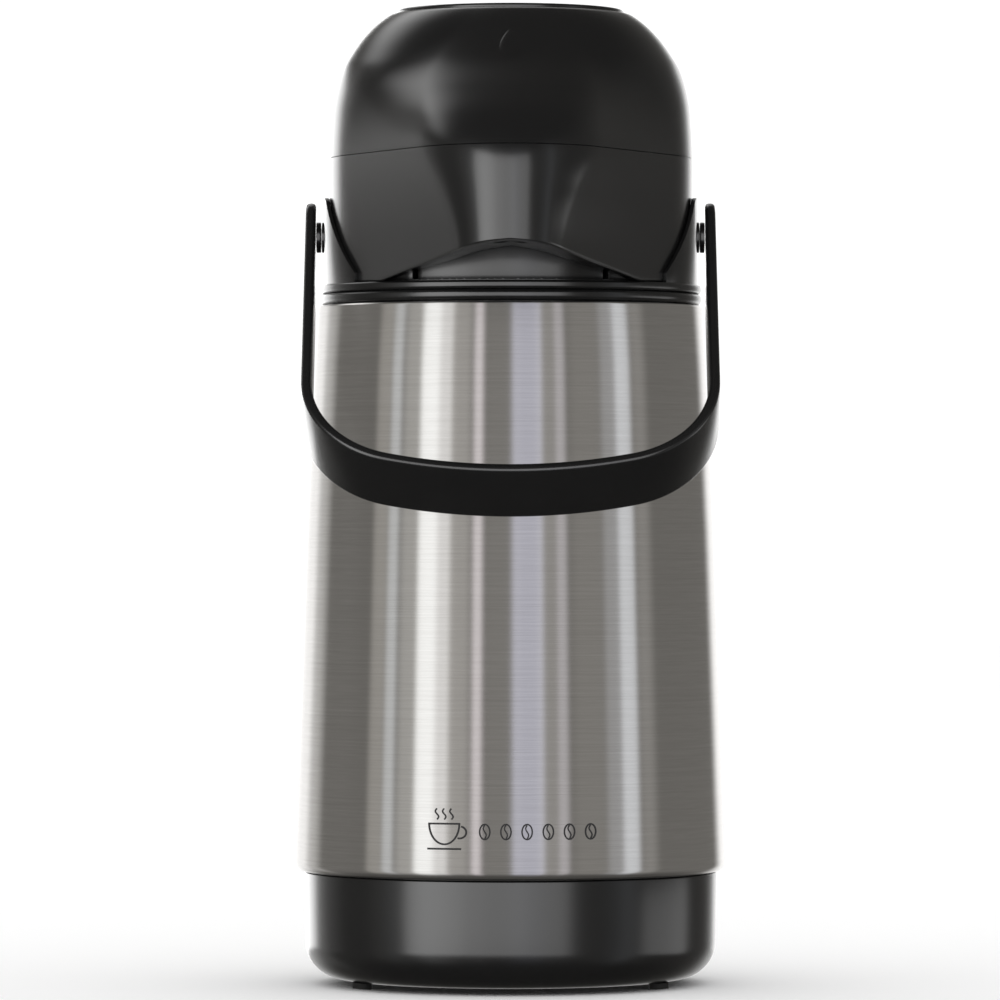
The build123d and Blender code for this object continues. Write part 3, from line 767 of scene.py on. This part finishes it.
def knuckle(bm, start, end, rise):
    """A hinge knuckle along X, with a web that runs up or down into the hood's back wall."""
    part = bmesh.new()
    outline(part, [(PIN_RADIUS, start), (KNUCKLE_RADIUS, start), (KNUCKLE_RADIUS, end), (PIN_RADIUS, end)],
            [(1, 0.3, 2), (2, 0.3, 2)])
    turn(part, 48)
    part.transform(Matrix.Translation((0, HINGE_Y * MM, HINGE_Z * MM)) @ ROUND_X)
    close_up(part)
    add(bm, part)
    part = bmesh.new()
    side = math.copysign(1.0, rise)
    back = HINGE_Y + KNUCKLE_RADIUS - 0.2
    web = [(60.4, HINGE_Z + 2.0 * side), (back, HINGE_Z + 0.6 * side),
           (61.2, HINGE_Z + rise), (60.4, HINGE_Z + rise)]
    face = part.faces.new([part.verts.new((start * MM, y * MM, z * MM)) for y, z in web])
    moved = bmesh.ops.extrude_face_region(part, geom=[face], use_keep_orig=True)
    far = [item for item in moved["geom"] if isinstance(item, bmesh.types.BMVert)]
    bmesh.ops.translate(part, verts=far, vec=((end - start) * MM, 0, 0))
    close_up(part)
    soften(part, 0.25, 2, 50)
    add(bm, part)


knuckle(bm, -KNUCKLE_END, -KNUCKLE_HALF - 0.3, -12.0)
knuckle(bm, KNUCKLE_HALF + 0.3, KNUCKLE_END, -12.0)
glossy_pieces.append(piece("shoulder_hood", bm, GLOSS_BLACK, "body", 30,
                           stands_for=["shoulder_shell"]))


# ---- Beak underside
# The arched cover that closes the beak from below, with a round hole for the nozzle. It is a
# separate moulding in the same black, snapped between the hood's walls.

COVER_THICKNESS = 1.8
COVER_HALF = 43.2
OUTLET_Y = -91.0
OUTLET_HOLE = 5.6


def front_of_beak(x):
    """How far forwards the hood's inner wall is at a distance from the middle."""
    plan = [point for point in head_points(247.0, HOOD_WALL + 0.05) if point.y < 0]
    side = sorted((point for point in plan if point.x >= 0), key=lambda point: point.x)
    for inner, outer in zip(side, side[1:]):
        if inner.x <= abs(x) <= outer.x:
            share = (abs(x) - inner.x) / max(outer.x - inner.x, 0.000001)
            return inner.y + (outer.y - inner.y) * share
    return side[0].y


bm = bmesh.new()
bmesh.ops.create_grid(bm, x_segments=120, y_segments=60, size=1.0)
for vert in bm.verts:
    x = vert.co.x * COVER_HALF
    rear = -math.sqrt((SPIGOT_OUTER + 0.3) ** 2 - x ** 2)
    front = min(front_of_beak(x), rear - 0.3)
    y = rear + (front - rear) * (vert.co.y + 1) / 2
    vert.co = Vector((x, y, max(arch_height(x, y), HOOD_BOTTOM))) * MM
outlet = Vector((0, OUTLET_Y * MM, 0))


def from_outlet(vert):
    return (Vector((vert.co.x, vert.co.y, 0)) - outlet).length / MM


inside = [vert for vert in bm.verts if from_outlet(vert) < OUTLET_HOLE]
bmesh.ops.delete(bm, geom=inside, context="VERTS")
for vert in bm.verts:
    if vert.is_boundary and from_outlet(vert) < OUTLET_HOLE + 2.2:
        away = (Vector((vert.co.x, vert.co.y, 0)) - outlet).normalized() * OUTLET_HOLE * MM
        vert.co.x, vert.co.y = away.x, outlet.y + away.y
bmesh.ops.recalc_face_normals(bm, faces=bm.faces)
if sum(face.normal.z for face in bm.faces) > 0:
    bmesh.ops.reverse_faces(bm, faces=bm.faces)
bmesh.ops.solidify(bm, geom=bm.faces[:], thickness=COVER_THICKNESS * MM)
bmesh.ops.recalc_face_normals(bm, faces=bm.faces)
glossy_pieces.append(piece("beak_underside", bm, GLOSS_BLACK, "body",
                           stands_for=["spout_cover"]))


# ---- Hinge pin
# A drawn steel pin through the five knuckles at the back of the head.

dress("hinge_pin", BRIGHT_STEEL)


# ---- Lid hood
# The glossy black dome that carries on the head's form above the seam and closes over the pump.
# It is one moulding with a round well in its top for the push plate.

WELL_RADIUS = 38.9
WELL_OUTER = 41.0
WELL_BOTTOM = 308.0
DOME_TOP = 329.2
INNER_TOP = 325.2

bm = bmesh.new()
low = SEAM + SEAM_GAP / 2
heights = [low + 0.4 + (DOME_TOP - 1.6 - low) * i / 34 for i in range(35)]
heights += [DOME_TOP - 0.75, DOME_TOP - 0.3]
well_rim = circle_points(WELL_RADIUS)
well_back = circle_points(WELL_OUTER)
EDGE_ROUND = ((0.34, 0.0), (0.16, 0.05), (0.05, 0.16))
rings = [loop(bm, at_height(head_points(low, inset), low + rise)) for inset, rise in EDGE_ROUND]
rings += [loop(bm, at_height(head_points(height), height)) for height in heights]
rings += [
    loop(bm, at_height(circle_points(WELL_RADIUS + 0.55), DOME_TOP)),
    loop(bm, at_height(circle_points(WELL_RADIUS + 0.25), DOME_TOP - 0.03)),
    loop(bm, at_height(well_rim, DOME_TOP - 0.3)),
    loop(bm, at_height(well_rim, WELL_BOTTOM)),
    loop(bm, at_height(well_back, WELL_BOTTOM + 0.1)),
    loop(bm, at_height(well_back, INNER_TOP)),
]
rings += [loop(bm, at_height(head_points(height, HOOD_WALL), height)) for height in
          (322.0, 318.0, 313.0, 307.0, 300.0, 292.0, 285.0, low + 0.2)]
skin(bm, rings + rings[:1])
close_up(bm)
knuckle(bm, -KNUCKLE_HALF, KNUCKLE_HALF, 10.0)
lid_hood = piece("lid_hood", bm, GLOSS_BLACK, "lid", 30, stands_for=["lid_shell"])
glossy_pieces.append(lid_hood)


# ---- Raised drop
# A small plain drop, raised a third of a millimetre from the front of the dome. It is moulded
# with the lid.

DROP_HEIGHT = 314.5
DROP_SIZE = 5.2
DROP_RISE = 0.45

bm = bmesh.new()
lid_tree = BVHTree.FromObject(lid_hood, bpy.context.evaluated_depsgraph_get())
bmesh.ops.create_circle(bm, cap_ends=True, cap_tris=True, segments=48, radius=1.0)
bmesh.ops.subdivide_edges(bm, edges=[edge for edge in bm.edges if not edge.is_boundary], cuts=4,
                          use_grid_fill=True)
for vert in bm.verts:
    across, along = vert.co.x, vert.co.y
    taper = 1 - 0.55 * max(along, 0) ** 1.6
    x = across * taper * 0.72 * DROP_SIZE
    height = DROP_HEIGHT + along * DROP_SIZE * (1.25 if along > 0 else 0.85)
    hit = lid_tree.ray_cast(Vector((x, -200, height)) * MM, Vector((0, 1, 0)))
    edge = math.sqrt(across ** 2 + along ** 2)
    vert.co = hit[0] + hit[1] * MM * (DROP_RISE * math.sqrt(max(1 - edge ** 4, 0)) - 0.03)
bmesh.ops.recalc_face_normals(bm, faces=bm.faces)
if sum(face.normal.y for face in bm.faces) > 0:
    bmesh.ops.reverse_faces(bm, faces=bm.faces)
bmesh.ops.solidify(bm, geom=bm.faces[:], thickness=0.3 * MM)
bmesh.ops.recalc_face_normals(bm, faces=bm.faces)
glossy_pieces.append(piece("raised_drop", bm, GLOSS_BLACK, "lid"))


# ---- Pump base
# The grey plate screwed into the lid from below with its air duct and silicone ring, the rubber
# valve flap on it, four steel screws, and the catch tongue in the nose.

dress("pump_base", GREY_PLASTIC)
dress("lid_gasket", SILICONE)
dress("air_valve_flap", RUBBER)
dress("lid_screws", BRIGHT_STEEL)
dress("lid_catch", GREY_PLASTIC)


# ---- Bellows
# The milky bellows that pumps the air. It is blown in one piece with five soft folds, stands on
# the pump base, and its top is held by a ring under the push plate.

BELLOWS_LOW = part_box("bellows")[0].z / MM
BELLOWS_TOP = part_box("bellows")[1].z / MM - 0.03
FOLDS = 5
VALLEY_OUTER, VALLEY_INNER = 27.5, 26.5
RIDGE_OUTER, RIDGE_INNER = 32.6, 31.2

bm = bmesh.new()
pitch = (BELLOWS_TOP - BELLOWS_LOW) / FOLDS
outside, inside = [], []
for fold in range(FOLDS):
    foot = BELLOWS_LOW + fold * pitch
    outside += [(VALLEY_OUTER, foot), (RIDGE_OUTER, foot + pitch / 2)]
    inside += [(VALLEY_INNER, foot), (RIDGE_INNER, foot + pitch / 2)]
outside.append((VALLEY_OUTER, BELLOWS_TOP))
inside.append((VALLEY_INNER, BELLOWS_TOP))
folds = range(1, len(outside) - 1)
inner_folds = range(len(outside) + 1, 2 * len(outside) - 1)
outline(bm, outside + inside[::-1], [(corner, 1.0, 4) for corner in [*folds, *inner_folds]])
turn(bm, 96)
bellows = piece("pump_bellows", bm, SILICONE, "lid", 50, stands_for=["bellows"])
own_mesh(bellows)


# ---- Return spring
# A coil of bright steel wire inside the bellows that pushes the plate up again.

SPRING_RADIUS = 15.0
SPRING_WIRE = 0.8
SPRING_TURNS = 7
SPRING_LOW = 285.6
SPRING_LENGTH = 39.0
STEPS_PER_TURN = 36

bm = bmesh.new()
bmesh.ops.create_circle(bm, segments=10, radius=SPRING_WIRE * MM, matrix=Matrix.Translation(
    (SPRING_RADIUS * MM, 0, (SPRING_LOW + SPRING_WIRE) * MM)) @ Matrix.Rotation(math.radians(90), 4, "X"))
spring_steps = SPRING_TURNS * STEPS_PER_TURN
spring_rise = (SPRING_LENGTH - 2 * SPRING_WIRE) * MM
bmesh.ops.spin(bm, geom=bm.edges[:], cent=(0, 0, 0), axis=(0, 0, 1), angle=math.tau * SPRING_TURNS,
               steps=spring_steps, dvec=(0, 0, spring_rise / spring_steps))
bmesh.ops.holes_fill(bm, edges=[edge for edge in bm.edges if edge.is_boundary], sides=0)
close_up(bm)
spring = piece("pump_spring", bm, BRIGHT_STEEL, "lid", 50, stands_for=["return_spring"])
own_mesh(spring)


# ---- Push plate
# The glossy black disc in the top of the dome, slightly dished for the palm, with a skirt that
# slides in the well and a lip that stops it. A grey ring under it holds the bellows.

PLATE_RADIUS = 38.5
PLATE_TOP = cad_high.z / MM
LIP_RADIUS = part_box("push_plate")[1].x / MM
LIP_LOW = 304.5
LIP_HEIGHT = 3.0
SKIRT_INNER = 36.5
PLATE_WALL = 2.4

dress("bellows_clamp_ring", GREY_PLASTIC)
bm = bmesh.new()
outline(bm, [
    (0, PLATE_TOP - 0.5), (19.2, PLATE_TOP - 0.42), (33.0, PLATE_TOP), (PLATE_RADIUS, PLATE_TOP),
    (PLATE_RADIUS, LIP_LOW + LIP_HEIGHT), (LIP_RADIUS, LIP_LOW + LIP_HEIGHT), (PLATE_RADIUS, LIP_LOW),
    (SKIRT_INNER, LIP_LOW), (SKIRT_INNER, PLATE_TOP - PLATE_WALL), (0, PLATE_TOP - PLATE_WALL),
], [(1, 6, 5), (2, 4, 5), (3, 0.8, 4), (5, 0.3, 2), (8, 1, 3)], closed=False)
turn(bm)
glossy_pieces.append(piece("press_disc", bm, GLOSS_BLACK, "push",
                           stands_for=["push_plate"]))


# ---- Carrying handle
# One glossy black strap bent to a wide U and moulded with a pivot stud at each end. Its edges are
# rounded for the fingers.

STRAP_WIDTH = 23.2
STRAP_THICKNESS = 3.6
STRAP_INNER = 65.9
STRAP_STRAIGHT = 77.0
STRAP_CORNER = 34.0
STRAP_BOW = 166.0
STRAP_REACH = 115.2
STRAP_REST_ANGLE = 42.4

bm = bmesh.new()
half_width = STRAP_WIDTH / 2
section = [(-STRAP_INNER - STRAP_THICKNESS, -half_width), (-STRAP_INNER, -half_width),
           (-STRAP_INNER, half_width), (-STRAP_INNER - STRAP_THICKNESS, half_width)]
face = bm.faces.new([bm.verts.new((x * MM, y * MM, half_width * MM)) for x, y in section])
hub = STRAP_INNER - STRAP_CORNER
bow_height = STRAP_BOW - STRAP_REACH
join = math.asin(hub / (STRAP_BOW - STRAP_CORNER))
stretches = [
    ("straight", -STRAP_STRAIGHT - half_width, 8),
    ("bend", (-hub, -STRAP_STRAIGHT), math.pi / 2 - join, 22),
    ("bend", (0, bow_height), 2 * join, 44),
    ("bend", (hub, -STRAP_STRAIGHT), math.pi / 2 - join, 22),
    ("straight", STRAP_STRAIGHT + half_width, 8),
]
geometry = bm.verts[:] + bm.edges[:] + bm.faces[:]
for kind, *how in stretches:
    if kind == "straight":
        rise, steps = how
        made = bmesh.ops.spin(bm, geom=geometry, cent=(0, 0, 0), axis=(0, 1, 0), angle=0.0, steps=steps,
                              dvec=(0, 0, rise / steps * MM))
    else:
        (x, z), sweep, steps = how
        made = bmesh.ops.spin(bm, geom=geometry, cent=(x * MM, 0, z * MM), axis=(0, -1, 0), angle=sweep,
                              steps=steps)
    geometry = made["geom_last"]
close_up(bm)
for step in range(1, 18):
    angle = math.radians(step * 10)
    normal = Vector((0, math.cos(angle), math.sin(angle)))
    shave(bm, normal * half_width, normal)
soften(bm, 1.3, 4, 35)
for side in (-1, 1):
    reach = sorted((side * (BOSS_FACE + 0.15), side * (STRAP_INNER + 0.4)))
    cross_ring(bm, *reach, BOSS_RADIUS, 1.0, 0.0)
    reach = sorted((side * 62.3, side * (STRAP_INNER + 0.4)))
    cross_ring(bm, *reach, 3.0, 0.8, 0.0)
bm.transform(Matrix.Translation((0, 0, PIVOT_HEIGHT * MM))
             @ Matrix.Rotation(math.radians(-STRAP_REST_ANGLE), 4, "X"))
carrying_strap = piece("carrying_strap", bm, GLOSS_BLACK, "handle", 30,
                       stands_for=["handle"])
carrying_strap.visible_glossy = False
glossy_pieces.append(carrying_strap)


# ---- Studio
# A plain white floor and a white surround, with tall soft boxes that draw upright reflections on
# the steel and broader ones that shine on the black plastic.

FLOOR_SIZE = 12.0
CAMERA_DISTANCE = 2.315
CAMERA_HEIGHT = 0.1598
CAMERA_LENS = 245.1
SENSOR = 36.0

bm = bmesh.new()
bmesh.ops.create_grid(bm, x_segments=1, y_segments=1, size=FLOOR_SIZE / 2)
floor_mesh = bpy.data.meshes.new("studio_floor")
bm.to_mesh(floor_mesh)
bm.free()
floor = bpy.data.objects.new("studio_floor", floor_mesh)
floor_finish = new_finish("studio_floor_paper")
floor_mesh.materials.append(floor_finish.surface(
    Base_Color=(1, 1, 1, 1), Roughness=1.0, Specular_IOR_Level=0.0,
))
floor.visible_glossy = False
bpy.context.scene.collection.objects.link(floor)

world = bpy.data.worlds.new("studio_surround")
bpy.context.scene.world = world
sky = Finish(world)
direction = sky.node("ShaderNodeTexCoord")
split = {"Vector": direction}
to_right = sky.node("ShaderNodeSeparateXYZ", None, split, output=0)
to_back = sky.node("ShaderNodeSeparateXYZ", None, split, output=1)
azimuth = sky.node("ShaderNodeMath", {"operation": "ARCTAN2"}, {0: to_right, 1: -1.0 * to_back})
# Upright strips round the pot: direction from the front, half width, softness, strength, tint.
STRIPS = [
    (-131.0, 5.0, 5.0, 0.25, (1.0, 1.0, 0.98)),
    (-79.0, 5.0, 2.5, 0.19, (1.0, 0.97, 0.90)),
    (-70.0, 3.4, 2.0, 0.46, (0.93, 0.97, 1.0)),
    (-59.0, 5.5, 3.0, 0.26, (1.0, 1.0, 0.96)),
    (-48.0, 5.6, 2.2, 1.05, (0.98, 1.0, 1.0)),
    (-38.5, 4.0, 2.2, 0.68, (1.0, 1.0, 1.0)),
    (-29.0, 6.0, 3.0, 0.24, (1.0, 0.98, 0.94)),
    (-18.5, 2.6, 1.8, 0.62, (1.0, 0.94, 0.98)),
    (-5.0, 9.0, 4.0, 0.07, (1.0, 0.98, 0.95)),
    (9.5, 8.6, 2.2, 0.46, (0.80, 0.82, 1.0)),
    (21.0, 5.0, 2.5, 0.16, (1.0, 0.98, 0.95)),
    (29.0, 2.8, 1.8, 0.36, (0.97, 0.94, 1.0)),
    (44.0, 10.0, 5.0, 0.08, (1.0, 0.97, 0.92)),
    (59.0, 4.6, 2.6, 0.20, (0.92, 0.95, 1.0)),
    (69.0, 5.2, 2.2, 0.60, (0.90, 0.94, 1.0)),
    (81.0, 5.0, 4.0, 0.12, (1.0, 0.98, 0.95)),
]
BACK_LEFT, BACK_RIGHT = 139.0, 150.0
BACKDROP_GLOW = 0.85
CEILING_GLOW = 1.7
SURROUND_STRENGTH = 1.08
BASE_GLOW = (0.165, 0.160, 0.150)


def ramp(value, start, end):
    """0 at start, 1 at end, smooth between them."""
    return sky.node("ShaderNodeMapRange", {"interpolation_type": "SMOOTHSTEP"}, {
        "Value": value, "From Min": start, "From Max": end,
    })


def window(centre, half, soft):
    """1 near an azimuth, 0 away from it, with soft edges; degrees."""
    away = sky.node("ShaderNodeMath", {"operation": "ABSOLUTE"}, {0: azimuth - math.radians(centre)})
    return ramp(away, math.radians(half + soft), math.radians(half - soft))


def glow(colour, strength):
    return sky.node("ShaderNodeVectorMath", {"operation": "SCALE"}, {0: colour, "Scale": strength})


def plus(first, second):
    return sky.node("ShaderNodeVectorMath", {"operation": "ADD"}, {0: first, 1: second})


to_up = sky.node("ShaderNodeSeparateXYZ", None, split, output=2)
to_back_left = sky.node("ShaderNodeVectorMath", {"operation": "DOT_PRODUCT"},
                        {0: direction, 1: (-0.5, 0.866, 0.0)}, output=1)
level = ramp(to_up, 0.82, 0.35) * ramp(to_up, -0.75, -0.30)
overhead = ramp(to_up, 0.38, 0.58)
light = glow(BASE_GLOW, 0.45 + 0.55 * level)
for centre, half, soft, strength, tint in STRIPS:
    light = plus(light, glow(tint, window(centre, half, soft) * level * strength))
backdrop = window(-180.0, 180.0 - BACK_LEFT, 11.0) + window(180.0, 180.0 - BACK_RIGHT, 9.0)
backdrop = backdrop * (1.0 - ramp(to_up, 0.15, 0.35)) * ramp(to_up, -0.50, -0.15)
ceiling = overhead * ramp(to_back_left, 0.55, 0.82)
light = plus(light, glow((1.0, 1.0, 1.0), BACKDROP_GLOW * backdrop + CEILING_GLOW * ceiling))
seen = sky.node("ShaderNodeLightPath")
spread = sky.node("ShaderNodeLightPath", output=2)
white = (1, 1, 1, 1)
shown = sky.node("ShaderNodeMix", {"data_type": "RGBA"}, {0: seen + spread, 6: light, 7: white}, output=2)
surround = sky.node("ShaderNodeBackground", None, {"Color": shown, "Strength": SURROUND_STRENGTH})
sky.node("ShaderNodeOutputWorld", None, {"Surface": surround})

# Broad soft boxes for the plastic: name, direction, width, height, middle height, radiance.
SOFT_BOXES = [
    ("main_box", -42.5, 1.053, 1.6, 0.42, 4.1),
    ("front_box", -8.0, 1.059, 1.6, 0.42, 3.1),
    ("fill_box", 21.0, 0.704, 1.6, 0.42, 2.4),
    ("right_box", 96.0, 1.15, 0.6, -0.12, 1.6),
    ("left_fill_box", -121.0, 0.70, 1.1, 0.20, 0.20),
    ("back_left_box", -160.0, 1.40, 0.9, 0.25, 2.6),
    ("back_right_box", 168.0, 0.85, 0.9, 0.25, 1.0),
]
BOX_DISTANCE = 1.7
plastic = bpy.data.collections.new("glossy_plastic")
bpy.context.scene.collection.children.link(plastic)
for made in glossy_pieces:
    plastic.objects.link(made)
for name, bearing, width, height, middle, radiance in SOFT_BOXES:
    lamp = bpy.data.lights.new(name, "AREA")
    lamp.shape = "RECTANGLE"
    lamp.size, lamp.size_y = width, height
    lamp.energy = radiance * math.pi * width * height
    box = bpy.data.objects.new(name, lamp)
    turn_to = math.radians(bearing)
    box.location = (BOX_DISTANCE * math.sin(turn_to), -BOX_DISTANCE * math.cos(turn_to), middle)
    box.rotation_euler = (math.radians(90), 0, turn_to)
    box.visible_camera = False
    box.light_linking.receiver_collection = plastic
    bpy.context.scene.collection.objects.link(box)

view_camera = bpy.data.objects.new("view_camera", bpy.data.cameras.new("view_camera"))
view_camera.location = (0, -CAMERA_DISTANCE, CAMERA_HEIGHT)
view_camera.rotation_euler = (math.radians(90), 0, 0)
view_camera.data.lens = CAMERA_LENS
view_camera.data.sensor_width = SENSOR
view_camera.data.shift_x = -0.0105
view_camera.data.shift_y = 0.013
view_camera.data.clip_start = 0.01
bpy.context.scene.collection.objects.link(view_camera)
bpy.context.scene.camera = view_camera
bpy.context.scene.view_settings.view_transform = "Standard"
